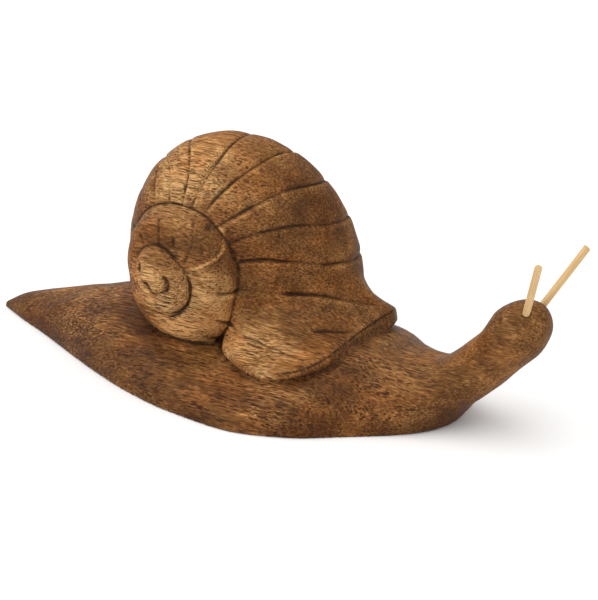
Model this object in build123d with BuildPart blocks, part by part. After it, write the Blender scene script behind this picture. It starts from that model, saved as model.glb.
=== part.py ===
from build123d import *
import os
from math import cos, radians, sin, sqrt

os.makedirs("parts", exist_ok=True)

# A carved wooden snail with two tentacles of pale stick. X points from the tail to the head, Y to the
# snail's left and Z up. The origin is in the middle of the sole, below the shell.

# Driving sizes, mm
tail_reach = 75.0           # tail tip behind the origin
foot_length = 112.0         # tail tip to the root of the neck
sole_width = 65.0           # widest part of the foot
foot_height = 15.0          # ridge of the foot where it is highest, in front of the shell
neck_reach = 29.5           # root of the neck to the middle of the head
neck_width = 13.5
neck_thickness = 12.0
head_rise = 23.5            # middle of the head above the sole
head_width = 13.8
head_thickness = 12.9
head_length = 19.2

shell_x = -3.9              # middle of the body whorl, an ellipsoid
shell_y = 2.3
shell_z = 25.0
dome_length = 55.2
dome_width = 31.8
dome_height = 65.4

spire_offset = 10.6         # the tip of the spire is this far behind the shell's middle
spire_reach = 26.3          # and this far to its right
spire_rise = 1.6
suture_radius = 3.4         # from the spire's axis to the suture where it first shows

lip_forward = 7.9           # the flared lip goes round an upright line in front of the shell's middle
lip_sideways = 2.3          # and to its right
lip_reach = 29.4            # farthest edge of the lip from that line
lip_rise = 3.9              # highest point of the lip's upper edge above the ridge of the foot
lip_thickness = 4.2         # at the nose, where the lip is thickest
lip_undercut = 1.2          # depth of the groove carved below the lip
flare_height = 10.0         # the shell's wall spreads into the lip over this height
flare_root_radius = 6.0     # inner end of the flare, inside the shell
flare_root_height = 4.0     # lower end of the flare, inside the foot
flare_overlap = 0.4         # how far the flare's upper edge is sunk into the shell's wall

growth_groove_width = 0.8
growth_groove_depth = 0.8
growth_groove_start = 9.0   # the grooves keep this far from the spire's axis

tentacle_diameter = 1.8
left_tentacle_showing = 15.6    # length of stick outside the head
right_tentacle_showing = 15.2
left_tentacle_offset = 4.1      # sideways from the head's middle to where the stick leaves the head
right_tentacle_offset = 3.5
left_tentacle_rise = 1.3        # the stick leaves it this far above the line through the head's middle
right_tentacle_rise = 1.9
tentacle_bore_depth = 5.5
tentacle_clearance = 0.05   # radial, filled by glue
tentacle_chamfer = 0.3
cut_overrun = 3.0

# Angles in degrees, counts, and growth
dome_yaw = 15.5
dome_pitch = -10.3
dome_roll = 7.9
spire_back = 4.0            # the spire's axis leans back and up by these angles
spire_lift = 2.0
growth_per_turn = 2.09      # each turn of the spire is this many times as large as the one before
groove_angles = (-24, -10, 4, 20, 35, 51, 67, 83, 100)   # about the spire's axis, from straight up
left_tentacle_forward_angle = 25.0
left_tentacle_splay_angle = 26.0
right_tentacle_forward_angle = 18.5
right_tentacle_splay_angle = 24.0
head_lean_angle = 47.0

# The foot, from the tail tip to the root of the neck. Each section is an ellipse: place along the foot,
# half width and half height as shares, and then how far the section leans back.
foot_section_shares = (
    (0.000, 0.025, 0.075), (0.071, 0.150, 0.350), (0.170, 0.300, 0.560), (0.312, 0.540, 0.830),
    (0.392, 0.670, 0.930), (0.509, 0.830, 0.840), (0.634, 0.948, 0.720), (0.777, 1.000, 0.735),
    (0.901, 0.880, 0.945), (1.000, 0.646, 1.020),
)
foot_section_leans = (0, 0, 0, 0, 0, 0, 0, 2, 5, 12)

# The neck, from its root to the middle of the head: place ahead and above, half width and half thickness.
neck_section_shares = (
    (0.305, 0.187, 2.230, 1.650), (0.576, 0.434, 1.350, 1.000), (0.831, 0.728, 1.000, 0.967),
)
neck_section_leans = (28, 42, 45)
neck_end_share = 0.97            # the neck ends inside the head's widest section

# The tube of the spire, across its section, as shares of the suture's radius: the nearest and the middle
# ring, the outer wall, and depths below the apex.
hub_share = 0.10
crown_radius_share = 0.90
crown_depth_share = 0.72
wall_radius_share = 2.08
wall_depth_share = 1.55
floor_depth_share = 2.40
core_radius_share = 0.15         # solid middle of the spire, in terms of its last ring
core_length_share = 2.0
spire_first_turn = -1.0
spire_full_turn = 1.45
spire_fade_shares = ((1.00, 1.00), (1.055, 0.90), (1.11, 0.72), (1.17, 0.52))   # turn, size
spire_steps_per_turn = 8
spire_flat_share = 0.16     # the turns are flatter by this share at the back

# The lip's upper edge seen from above: angle from straight ahead, then reach, height above the sole and
# thickness as shares, and how full the flare's hollow is above it.
lip_edge_shares = (
    (-118, 0.370, 0.645, 0.45, 0.14), (-104, 0.493, 0.630, 0.45, 0.14), (-89, 0.609, 0.622, 0.46, 0.14),
    (-78, 0.709, 0.608, 0.48, 0.14), (-70, 0.796, 0.603, 0.50, 0.14), (-62, 0.888, 0.613, 0.50, 0.14),
    (-52, 0.962, 0.656, 0.52, 0.14), (-42, 0.995, 0.714, 0.55, 0.15), (-31, 0.957, 0.778, 0.58, 0.18),
    (-19, 0.900, 0.841, 0.62, 0.22), (-6, 0.868, 0.900, 0.70, 0.30), (7, 0.900, 0.952, 0.86, 0.40),
    (19, 0.978, 1.000, 1.00, 0.44), (29, 0.975, 0.910, 0.86, 0.38), (42, 0.920, 0.772, 0.60, 0.24),
    (57, 0.820, 0.661, 0.50, 0.16), (76, 0.730, 0.608, 0.50, 0.14), (96, 0.690, 0.608, 0.50, 0.14),
    (116, 0.680, 0.661, 0.50, 0.14),
)
lip_bulge_share = 0.24           # the lip's edge is rounded by this share of its thickness
flare_bend_reach_share = 0.12    # control point of the flare's hollow, from the wall outwards


def leaning_plane(x, z, lean):
    """Plane across the body, facing forward and leaning back by an angle."""
    forward = (cos(radians(lean)), 0, sin(radians(lean)))
    return Plane(origin=(x, 0, z), x_dir=(0, 1, 0), z_dir=forward)


neck_root = foot_length - tail_reach
head_plane = leaning_plane(neck_root + neck_reach, head_rise, head_lean_angle)

with BuildPart() as foot:
    for (place_share, width_share, height_share), lean in zip(foot_section_shares, foot_section_leans):
        with BuildSketch(leaning_plane(place_share * foot_length - tail_reach, 0, lean)):
            Ellipse(width_share * sole_width / 2, height_share * foot_height)
    for shares, lean in zip(neck_section_shares, neck_section_leans):
        place_share, rise_share, width_share, height_share = shares
        with BuildSketch(leaning_plane(neck_root + place_share * neck_reach, rise_share * head_rise, lean)):
            Ellipse(width_share * neck_width / 2, height_share * neck_thickness / 2)
    with BuildSketch(head_plane):
        Ellipse(neck_end_share * head_width / 2, neck_end_share * head_thickness / 2)
    loft()
    split(bisect_by=Plane.XY, keep=Keep.TOP)

with BuildPart() as head:
    Sphere(radius=1)
    scale(by=(head_width / 2, head_thickness / 2, head_length / 2))


# Shell: the body whorl with its growth grooves
dome_turn = Rotation(Z=dome_yaw) * Rotation(Y=dome_pitch) * Rotation(X=dome_roll)
dome_place = Location((shell_x, shell_y, shell_z)) * dome_turn
dome_frame = Plane(dome_place)
dome_semi_axes = (dome_length / 2, dome_width / 2, dome_height / 2)
axis_into_shell = Vector(
    sin(radians(spire_back)) * cos(radians(spire_lift)),
    cos(radians(spire_back)) * cos(radians(spire_lift)),
    sin(radians(spire_lift)),
)
spire_forward = Vector(cos(radians(spire_back)), -sin(radians(spire_back)), 0)
spire_up = spire_forward.cross(axis_into_shell)
apex = Vector(shell_x - spire_offset, shell_y - spire_reach, shell_z + spire_rise)


def radial_plane(angle):
    """Half plane through the spire's axis: X leaves the axis, Y goes into the shell."""
    outward = spire_forward * sin(radians(angle)) + spire_up * cos(radians(angle))
    return Plane(origin=apex, x_dir=outward, z_dir=outward.cross(axis_into_shell))


with BuildPart() as uncut_core:
    Sphere(radius=1)
    scale(by=tuple(semi_axis - growth_groove_depth for semi_axis in dome_semi_axes))

with BuildPart() as growth_grooves:
    for groove_angle in groove_angles:
        with BuildSketch(radial_plane(groove_angle)), Locations((growth_groove_start, 0)):
            Rectangle(dome_height, 2 * dome_height, align=(Align.MIN, Align.CENTER))
        extrude(amount=growth_groove_width / 2, both=True)
    with Locations(dome_place):
        add(uncut_core.part, mode=Mode.SUBTRACT)

with BuildPart() as dome:
    Sphere(radius=1)
    scale(by=dome_semi_axes)

with BuildPart() as grooved_dome:
    with Locations(dome_place):
        add(dome.part)
    add(growth_grooves.part, mode=Mode.SUBTRACT)


# Shell: the spire, a tube that winds round the axis and grows by the same factor in every turn
def tube_section(turn, size=1):
    """Face across the tube where it has wound by a number of turns."""
    backward_share = max(0, -sin(radians(360 * turn))) ** 2
    ring = size * suture_radius * growth_per_turn ** turn
    flat_ring = ring * (1 - spire_flat_share * backward_share)
    hub, crown, wall = (share * flat_ring for share in (hub_share, crown_radius_share, wall_radius_share))
    near, middle, floor = (share * ring for share in (crown_depth_share, wall_depth_share, floor_depth_share))
    with BuildSketch(radial_plane(360 * turn)) as section:
        with BuildLine():
            Polyline((wall, middle), (wall, floor), (hub, floor), (hub, near), (crown, near))
            EllipticalCenterArc((crown, middle), wall - crown, middle - near, start_angle=270, arc_size=90)
        make_face()
    return section.sketch


first_ring, last_ring = (
    suture_radius * growth_per_turn ** turn for turn in (spire_first_turn, spire_full_turn)
)
half_turn_steps = spire_steps_per_turn // 2
spire_wind = spire_full_turn - spire_first_turn
spire_steps = round(spire_wind * spire_steps_per_turn)
spire_turns = [spire_first_turn + spire_wind * step / spire_steps for step in range(spire_steps + 1)]
with BuildPart() as spire:
    for first_step in range(0, spire_steps, half_turn_steps):
        loft([tube_section(turn) for turn in spire_turns[first_step:first_step + half_turn_steps + 1]])
    loft([tube_section(turn_share * spire_full_turn, size) for turn_share, size in spire_fade_shares])
    core_start = apex + axis_into_shell * crown_depth_share * first_ring
    with Locations(Plane(origin=core_start, z_dir=axis_into_shell)):
        Cylinder(
            core_radius_share * last_ring,
            core_length_share * last_ring,
            align=(Align.CENTER, Align.CENTER, Align.MIN),
        )


# Shell: the flared lip that lies over the foot
lip_x = shell_x + lip_forward
lip_y = shell_y - lip_sideways
lip_height = foot_height + lip_rise


def dome_wall(angle, height):
    """Distance from the lip's upright line to the body whorl's wall."""
    start = Vector(lip_x, lip_y, height)
    origin = dome_frame.to_local_coords(start)
    ahead = dome_frame.to_local_coords(start + Vector(cos(radians(angle)), sin(radians(angle)), 0)) - origin
    a = sum((step / semi) ** 2 for step, semi in zip(ahead, dome_semi_axes))
    b = sum(step * place / semi ** 2 for step, place, semi in zip(ahead, origin, dome_semi_axes))
    c = sum((place / semi) ** 2 for place, semi in zip(origin, dome_semi_axes)) - 1
    return (sqrt(b * b - a * c) - b) / a


with BuildPart() as flare:
    for angle, reach_share, height_share, thickness_share, bend_height_share in lip_edge_shares:
        edge, top = reach_share * lip_reach, height_share * lip_height
        thickness = thickness_share * lip_thickness
        join = top + flare_height
        wall = dome_wall(angle, join) - flare_overlap
        bend = wall + flare_bend_reach_share * (edge - wall)
        ahead = (cos(radians(angle)), sin(radians(angle)), 0)
        across = (ahead[1], -ahead[0], 0)
        with BuildSketch(Plane(origin=(lip_x, lip_y, 0), x_dir=ahead, z_dir=across)):
            with BuildLine():
                Polyline(
                    (wall, join),
                    (flare_root_radius, join),
                    (flare_root_radius, flare_root_height),
                    (edge - lip_undercut, flare_root_height),
                    (edge - lip_undercut, top - thickness),
                    (edge, top - thickness),
                )
                ThreePointArc(
                    (edge, top - thickness),
                    (edge + lip_bulge_share * thickness, top - thickness / 2),
                    (edge, top),
                )
                Bezier((edge, top), (bend, top + bend_height_share * flare_height), (wall, join))
            make_face()
    loft()


# Tentacles: straight sticks, each seated on the floor of its own hole in the head
def tentacle_plane(side, offset, rise, forward, splay):
    """Plane on the floor of a tentacle's hole, facing along the stick; side is 1 on the snail's left."""
    along = Vector(sin(radians(forward)), side * sin(radians(splay)), 0)
    along = along + Vector(0, 0, sqrt(1 - along.length ** 2))
    across_share = 2 * offset / head_width
    rise_share = 2 * rise / head_thickness
    onward = sqrt(1 - across_share ** 2 - rise_share ** 2) * head_length / 2
    mouth = head_plane.from_local_coords(Vector(side * offset, rise, onward))
    return Plane(origin=mouth - along * tentacle_bore_depth, x_dir=(0, 1, 0), z_dir=along)


left_plane = tentacle_plane(
    1,
    left_tentacle_offset,
    left_tentacle_rise,
    left_tentacle_forward_angle,
    left_tentacle_splay_angle,
)
right_plane = tentacle_plane(
    -1,
    right_tentacle_offset,
    right_tentacle_rise,
    right_tentacle_forward_angle,
    right_tentacle_splay_angle,
)

with BuildPart(left_plane) as tentacle_left:
    Cylinder(
        tentacle_diameter / 2,
        tentacle_bore_depth + left_tentacle_showing,
        align=(Align.CENTER, Align.CENTER, Align.MIN),
    )
    chamfer(tentacle_left.edges().group_by(Axis.Z)[-1], tentacle_chamfer)
tentacle_left.part.label = "tentacle_left"
export_step(tentacle_left.part, "parts/tentacle_left.step")

with BuildPart(right_plane) as tentacle_right:
    Cylinder(
        tentacle_diameter / 2,
        tentacle_bore_depth + right_tentacle_showing,
        align=(Align.CENTER, Align.CENTER, Align.MIN),
    )
    chamfer(tentacle_right.edges().group_by(Axis.Z)[-1], tentacle_chamfer)
tentacle_right.part.label = "tentacle_right"
export_step(tentacle_right.part, "parts/tentacle_right.step")


# Foot, neck, head and shell are one block of wood
with BuildPart() as carved_snail:
    add(foot.part)
    with Locations(head_plane.location):
        add(head.part)
    add(grooved_dome.part)
    add(spire.part)
    add(flare.part)
    for bore_plane in (left_plane, right_plane):
        with Locations(bore_plane.location):
            Cylinder(
                tentacle_diameter / 2 + tentacle_clearance,
                tentacle_bore_depth + cut_overrun,
                align=(Align.CENTER, Align.CENTER, Align.MIN),
                mode=Mode.SUBTRACT,
            )
    split(bisect_by=Plane.XY, keep=Keep.TOP)
carved_snail.part.label = "carved_snail"
export_step(carved_snail.part, "parts/carved_snail.step")
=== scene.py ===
import math

import bmesh
import bpy
import numpy as np
from mathutils import Matrix, Vector


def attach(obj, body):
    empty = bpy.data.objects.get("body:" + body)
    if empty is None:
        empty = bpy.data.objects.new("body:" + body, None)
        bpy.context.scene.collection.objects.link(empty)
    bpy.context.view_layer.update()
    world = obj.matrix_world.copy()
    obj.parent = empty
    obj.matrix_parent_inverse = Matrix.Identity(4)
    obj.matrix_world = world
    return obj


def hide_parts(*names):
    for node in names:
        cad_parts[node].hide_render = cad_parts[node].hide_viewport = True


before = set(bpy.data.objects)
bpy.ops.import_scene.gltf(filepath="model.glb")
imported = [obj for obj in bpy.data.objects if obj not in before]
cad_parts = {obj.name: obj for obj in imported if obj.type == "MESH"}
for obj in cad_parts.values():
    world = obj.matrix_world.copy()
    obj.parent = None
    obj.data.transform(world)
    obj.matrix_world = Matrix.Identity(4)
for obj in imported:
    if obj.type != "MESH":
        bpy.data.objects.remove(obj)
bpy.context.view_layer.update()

# Shapes are measured in millimetres and turned into metres when a mesh is made.
mm = 0.001
scene = bpy.context.scene
print("frame loaded:", sorted(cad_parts))


# Small helpers

def smoothstep(low, high, value):
    t = np.clip((value - low) / (high - low), 0, 1)
    return t * t * (3 - 2 * t)


def curveThrough(places, values, wanted):
    # a smooth curve that never overshoots its points; values may have several columns
    places = np.asarray(places, float)
    values = np.asarray(values, float).reshape(len(places), -1)
    gaps = np.diff(places)[:, None]
    rises = np.diff(values, axis=0) / gaps
    slopes = np.zeros_like(values)
    before, after = rises[:-1], rises[1:]
    weightBefore = 2 * gaps[1:] + gaps[:-1]
    weightAfter = gaps[1:] + 2 * gaps[:-1]
    same = before * after > 0
    with np.errstate(divide="ignore", invalid="ignore"):
        mean = (weightBefore + weightAfter) / (weightBefore / before + weightAfter / after)
    slopes[1:-1] = np.where(same, mean, 0)
    slopes[0], slopes[-1] = rises[0], rises[-1]
    wanted = np.clip(np.asarray(wanted, float), places[0], places[-1])
    i = np.clip(np.searchsorted(places, wanted, side="right") - 1, 0, len(gaps) - 1)
    span = gaps[i]
    t = ((wanted - places[i]) / span[:, 0])[:, None]
    return (
        values[i] * (1 + 2 * t) * (1 - t) ** 2
        + slopes[i] * span * t * (1 - t) ** 2
        + values[i + 1] * t * t * (3 - 2 * t)
        + slopes[i + 1] * span * t * t * (t - 1)
    )


def meshFrom(name, points, faces):
    mesh = bpy.data.meshes.new(name)
    mesh.from_pydata([tuple(point) for point in np.asarray(points) * mm], [], faces)
    mesh.validate()
    mesh.update()
    return mesh


def shadeSmooth(piece):
    for face in piece.data.polygons:
        face.use_smooth = True


def newObject(name, data):
    made = bpy.data.objects.new(name, data)
    scene.collection.objects.link(made)
    return made


def skinRings(rings):
    # closed tube through rings of points, with a fan of faces over each end
    rings = np.asarray(rings)
    count, around = rings.shape[:2]
    points = np.concatenate([rings.reshape(-1, 3), [rings[0].mean(0), rings[-1].mean(0)]])
    faces = []
    for i in range(count - 1):
        for j in range(around):
            k = (j + 1) % around
            faces.append((i * around + j, i * around + k, (i + 1) * around + k, (i + 1) * around + j))
    first, last = count * around, count * around + 1
    end = (count - 1) * around
    for j in range(around):
        k = (j + 1) % around
        faces.append((first, k, j))
        faces.append((last, end + j, end + k))
    return points, faces


def joined(pieces):
    # one set of points and faces out of several
    points, faces, start = [], [], 0
    for piecePoints, pieceFaces in pieces:
        points.append(piecePoints)
        faces += [tuple(start + corner for corner in face) for face in pieceFaces]
        start += len(piecePoints)
    return np.concatenate(points), faces


# The foot, neck and head: one long form through ellipses.
# Place along the body, height of the middle, half width, half height (mm), and the lean (degrees).
footAndNeck = {
    "rings": [
        (-75.0, 0.0, 0.8, 1.1, 0), (-67.0, 0.0, 4.9, 5.25, 0), (-56.0, 0.0, 9.8, 8.4, 0),
        (-40.0, 0.0, 17.6, 12.5, 0), (-31.0, 0.0, 21.8, 13.9, 0), (-18.0, 0.0, 27.0, 12.6, 0),
        (-4.0, 0.0, 30.8, 10.8, 0), (12.0, 0.0, 32.5, 11.0, 2), (26.0, 0.0, 28.6, 14.2, 5),
        (37.0, 0.0, 21.0, 15.3, 12), (46.0, 4.8, 14.1, 9.8, 28), (54.0, 10.2, 9.1, 6.0, 42),
        (61.5, 17.1, 6.75, 5.8, 45), (66.5, 23.5, 6.9, 6.45, 47),
    ],
    "ringCount": 220,
    "pointsAround": 120,
    "headHalfLength": 9.6,
    "headRings": 26,
    "tipSize": 0.02,        # the last ring of the head, as a share of its widest
}


def buildFoot():
    rows = np.array(footAndNeck["rings"])
    steps = np.arange(len(rows))
    rows = curveThrough(steps, rows, np.linspace(0, steps[-1], footAndNeck["ringCount"]))
    x, z, wide, high, lean = rows[-1]
    along = np.radians(lean)
    for i in range(1, footAndNeck["headRings"] + 1):
        turn = math.pi / 2 * i / footAndNeck["headRings"]
        reach = footAndNeck["headHalfLength"] * math.sin(turn)
        size = max(math.cos(turn), footAndNeck["tipSize"])
        place = (x + reach * math.cos(along), z + reach * math.sin(along), wide * size, high * size, lean)
        rows = np.vstack([rows, place])
    around = np.linspace(0, 2 * math.pi, footAndNeck["pointsAround"], endpoint=False)
    x, z, wide, high, lean = (column[:, None] for column in rows.T)
    lean = np.radians(lean)
    side, rise = np.cos(around)[None], np.sin(around)[None]
    rings = np.stack([
        x - high * rise * np.sin(lean),
        wide * side + 0 * x,
        np.maximum(z + high * rise * np.cos(lean), 0),
    ], -1)
    return skinRings(rings[:, ::-1])


# The shell's body whorl is an ellipsoid, turned about its middle.
shell = {
    "middle": (-3.9, 2.3, 25.0),
    "halfSizes": (27.6, 15.9, 32.6),
    "yaw": 15.5, "pitch": -10.3, "roll": 7.9,
    "ringCount": 120,
    "pointsAround": 180,
    "poleGap": 0.01,        # radians between each pole and the first ring
    "lowest": 0.5,          # the form is cut flat this high above the floor
}
shellMiddle = np.array(shell["middle"])
shellHalf = np.array(shell["halfSizes"])
shellTurn = np.array(
    Matrix.Rotation(math.radians(shell["yaw"]), 3, "Z")
    @ Matrix.Rotation(math.radians(shell["pitch"]), 3, "Y")
    @ Matrix.Rotation(math.radians(shell["roll"]), 3, "X")
)


def shellLevel(points):
    # 1 on the body whorl's wall, less inside
    return np.linalg.norm((points - shellMiddle) @ shellTurn / shellHalf, axis=-1)


def buildShell():
    down = np.linspace(shell["poleGap"], math.pi - shell["poleGap"], shell["ringCount"])[:, None]
    around = np.linspace(0, 2 * math.pi, shell["pointsAround"], endpoint=False)[None]
    unit = np.stack([
        np.sin(down) * np.cos(around),
        np.sin(down) * np.sin(around),
        np.cos(down) + 0 * around,
    ], -1)
    rings = (unit * shellHalf) @ shellTurn.T + shellMiddle
    rings[..., 2] = np.maximum(rings[..., 2], shell["lowest"])
    return skinRings(rings)


# The spire is a tube that winds round an axis and grows by the same factor in every turn.
spire = {
    "apex": (-14.5, -24.0, 26.6),
    "back": 4.0, "lift": 2.0,   # degrees that the axis is turned and tilted
    "ring": 3.4, "growth": 2.09, "flatAtBack": 0.16,
    "firstTurn": -1.4, "fullTurn": 1.45, "lastTurn": 1.70,
    "fade": [(1.45, 1.0), (1.53, 0.90), (1.61, 0.72), (1.70, 0.52)],
    "stepsPerTurn": 72, "leastSteps": 6,
    "overlap": 0.01,        # each piece starts this share of a turn inside the one before it
    # across the tube, as shares of its ring: distance from the axis and depth below the apex
    "crown": (0.90, 0.72), "wall": (2.08, 1.55), "floor": 2.40, "hub": 0.06,
    "roofRise": (0.04, 0.03),   # how much higher than its crown the tube is at the hub and halfway out
    "curveSteps": 16,       # from the crown to the wall
    "boxiness": 0.86,       # under 1, the turns have flatter faces and tighter edges than an ellipse
}
back, lift = math.radians(spire["back"]), math.radians(spire["lift"])
spireApex = np.array(spire["apex"])
spireInward = np.array([math.sin(back) * math.cos(lift), math.cos(back) * math.cos(lift), math.sin(lift)])
spireAhead = np.array([math.cos(back), -math.sin(back), 0])
spireUp = np.cross(spireAhead, spireInward)


def spireSize(turn):
    return spire["ring"] * spire["growth"] ** turn


def spireRing(turn):
    # the turns are a little flatter at the back
    backward = np.maximum(0, -np.sin(2 * math.pi * turn)) ** 2
    return spireSize(turn) * (1 - spire["flatAtBack"] * backward)


def spirePlace(points):
    # turn (0 is straight up, growing towards the front), distance from the axis, depth below the apex
    offset = points - spireApex
    depth = offset @ spireInward
    ahead, up = offset @ spireAhead, offset @ spireUp
    return np.arctan2(ahead, up) / (2 * math.pi), np.hypot(ahead, up), depth


def spirePoint(turn, away, depth):
    angle = 2 * math.pi * np.asarray(turn)
    out = np.multiply.outer(np.sin(angle), spireAhead) + np.multiply.outer(np.cos(angle), spireUp)
    return spireApex + out * np.asarray(away)[..., None] + np.multiply.outer(np.asarray(depth), spireInward)


def spireSection():
    # points round the tube's section, as shares of its ring
    crownOut, crownDown = spire["crown"]
    wallOut, wallDown = spire["wall"]
    riseAtHub, riseHalfway = spire["roofRise"]
    points = [
        (spire["hub"], spire["floor"]),
        (spire["hub"], crownDown - riseAtHub),
        (crownOut / 2, crownDown - riseHalfway),
    ]
    for i in range(spire["curveSteps"] + 1):
        turn = math.pi / 2 * i / spire["curveSteps"]
        points.append((
            crownOut + (wallOut - crownOut) * math.sin(turn) ** spire["boxiness"],
            wallDown - (wallDown - crownDown) * math.cos(turn) ** spire["boxiness"],
        ))
    points.append((wallOut, spire["floor"]))
    return np.array(points)


def buildSpire():
    # one closed piece for each half turn, so that no piece crosses itself
    section = spireSection()
    fade = np.array(spire["fade"])
    pieces = []
    halfTurns = np.arange(spire["firstTurn"], spire["fullTurn"], 0.5)
    edges = np.append(halfTurns, [spire["fullTurn"], spire["lastTurn"]])
    for first, last in zip(edges[:-1], edges[1:]):
        count = max(spire["leastSteps"], round((last - first) * spire["stepsPerTurn"]))
        turns = np.linspace(first - spire["overlap"], last, count)
        size = np.interp(turns, fade[:, 0], fade[:, 1])
        rings = spirePoint(
            turns[:, None] + 0 * section[None, :, 0],
            (spireRing(turns) * size)[:, None] * section[None, :, 0],
            (spireSize(turns) * size)[:, None] * section[None, :, 1],
        )
        pieces.append(skinRings(rings))
    return joined(pieces)


# The flared lip lies over the foot, round an upright line in front of the shell's middle.
# Angle from straight ahead, reach, height and thickness of the lip's edge, and how full the hollow is
# that joins the edge to the shell.
lip = {
    "middle": (4.0, 0.0),
    "edge": [
        (-118, 10.9, 12.2, 1.9, 0.14), (-104, 14.5, 11.9, 1.9, 0.14), (-89, 17.9, 11.75, 1.95, 0.14),
        (-78, 20.8, 11.5, 2.0, 0.14), (-70, 23.4, 11.4, 2.1, 0.14), (-62, 26.1, 11.6, 2.1, 0.14),
        (-52, 28.3, 12.4, 2.2, 0.14), (-42, 29.3, 13.5, 2.3, 0.15), (-31, 28.1, 14.7, 2.4, 0.18),
        (-19, 26.5, 15.9, 2.6, 0.22), (-6, 25.5, 17.0, 2.9, 0.30), (7, 26.5, 18.0, 3.6, 0.40),
        (19, 28.8, 18.9, 4.2, 0.44), (29, 28.7, 17.2, 3.6, 0.38), (42, 27.0, 14.6, 2.5, 0.24),
        (57, 24.1, 12.5, 2.1, 0.16), (76, 21.5, 11.5, 2.1, 0.14), (96, 20.3, 11.5, 2.1, 0.14),
        (116, 20.0, 12.5, 2.1, 0.14),
    ],
    "flareHeight": 10.0, "wallOverlap": 0.4,
    "rootRadius": 6.0, "rootHeight": 4.0,
    "undercut": 1.2, "bulge": 0.30, "squareness": 0.5, "slant": 0.62,
    "bendOut": 0.12,
    "rimSteps": 6, "flareSteps": 14,
    "ringCount": 240,
}


def shellWall(angle, height):
    # distance from the lip's upright line to the body whorl
    start = np.stack([lip["middle"][0] + 0 * angle, lip["middle"][1] + 0 * angle, height], -1)
    step = np.stack([np.cos(angle), np.sin(angle), 0 * angle], -1)
    start = (start - shellMiddle) @ shellTurn / shellHalf
    step = step @ shellTurn / shellHalf
    a, b, c = (step ** 2).sum(-1), (step * start).sum(-1), (start ** 2).sum(-1) - 1
    return (np.sqrt(np.maximum(b * b - a * c, 0)) - b) / a


def buildLip():
    rows = np.array(lip["edge"])
    angles = np.linspace(rows[0, 0], rows[-1, 0], lip["ringCount"])
    reach, top, thick, fullness = curveThrough(rows[:, 0], rows[:, 1:], angles).T
    angles = np.radians(angles)
    join = top + lip["flareHeight"]
    wall = shellWall(angles, join) - lip["wallOverlap"]
    bendOut, bendUp = wall + lip["bendOut"] * (reach - wall), top + fullness * lip["flareHeight"]
    inner, low = lip["rootRadius"] + 0 * top, lip["rootHeight"] + 0 * top
    under = reach - lip["undercut"]
    outline = [(inner, join), (inner, low), (under, low), (under, top - thick)]
    for i in range(lip["rimSteps"] + 1):
        turn = math.pi * (i / lip["rimSteps"] - 0.5)
        out = lip["slant"] - (1 - lip["slant"]) * math.sin(turn)
        out *= max(math.cos(turn), 0) ** lip["squareness"]
        rise = math.copysign(abs(math.sin(turn)) ** lip["squareness"], turn)
        outline.append((reach + lip["bulge"] * thick * out, top + thick / 2 * (rise - 1)))
    for i in range(lip["flareSteps"]):
        t = (i + 1) / lip["flareSteps"]
        outline.append((
            (1 - t) ** 2 * reach + 2 * t * (1 - t) * bendOut + t * t * wall,
            (1 - t) ** 2 * top + 2 * t * (1 - t) * bendUp + t * t * join,
        ))
    away = np.stack([point[0] for point in outline], -1)
    high = np.stack([point[1] for point in outline], -1)
    rings = np.stack([
        lip["middle"][0] + away * np.cos(angles)[:, None],
        lip["middle"][1] + away * np.sin(angles)[:, None],
        high,
    ], -1)
    return skinRings(rings)


# The block: the forms above become one skin of even small faces, which is then carved.
block = {
    "faceSize": 0.34,
    "smoothRounds": 2, "evenOutRounds": 10,     # smoothing that takes the steps out of the new skin
}


def bake(piece):
    # keeps what the modifiers made
    bpy.context.view_layer.update()
    made = bpy.data.meshes.new_from_object(piece.evaluated_get(bpy.context.evaluated_depsgraph_get()))
    piece.modifiers.clear()
    old = piece.data
    piece.data = made
    bpy.data.meshes.remove(old)


forms = joined([buildFoot(), buildShell(), buildSpire(), buildLip()])
snail = newObject("carvedSnail", meshFrom("carvedSnailForms", *forms))
remesh = snail.modifiers.new("evenSkin", "REMESH")
remesh.mode = "VOXEL"
remesh.voxel_size = block["faceSize"] * mm
bake(snail)
print("skin:", len(snail.data.vertices), "points", len(snail.data.polygons), "faces")


class Skin:
    # the points, edges and normals of a mesh as arrays
    def __init__(self, mesh):
        self.mesh = mesh
        count = len(mesh.vertices)
        self.points = np.empty(count * 3)
        mesh.vertices.foreach_get("co", self.points)
        self.points = self.points.reshape(-1, 3) / mm
        self.edges = np.empty(len(mesh.edges) * 2, np.int64)
        mesh.edges.foreach_get("vertices", self.edges)
        self.edges = self.edges.reshape(-1, 2)
        self.valence = np.bincount(self.edges.ravel(), minlength=count).astype(float)

    def write(self):
        self.mesh.vertices.foreach_set("co", (self.points * mm).ravel())
        self.mesh.update()

    def normals(self):
        self.write()
        out = np.empty(len(self.mesh.vertices) * 3)
        self.mesh.vertices.foreach_get("normal", out)
        return out.reshape(-1, 3)

    def neighbours(self, values):
        # mean of each point's neighbours
        values = np.asarray(values, float)
        columns = values.reshape(len(values), -1)
        out = np.empty_like(columns)
        a, b = self.edges.T
        for i in range(columns.shape[1]):
            column = columns[:, i]
            out[:, i] = (
                np.bincount(a, column[b], len(column)) + np.bincount(b, column[a], len(column))
            ) / self.valence
        return out.reshape(values.shape)

    def smooth(self, rounds, strength=0.5, weight=1.0):
        weight = np.broadcast_to(np.asarray(weight, float), len(self.points))[:, None]
        for _ in range(rounds):
            self.points += strength * weight * (self.neighbours(self.points) - self.points)

    def evenOut(self, rounds, inward=0.6, outward=0.62):
        # smoothing that doesn't shrink
        for _ in range(rounds):
            self.smooth(1, inward)
            self.smooth(1, -outward)


skin = Skin(snail.data)
skin.smooth(block["smoothRounds"])
skin.evenOut(block["evenOutRounds"])
skin.write()


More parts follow.
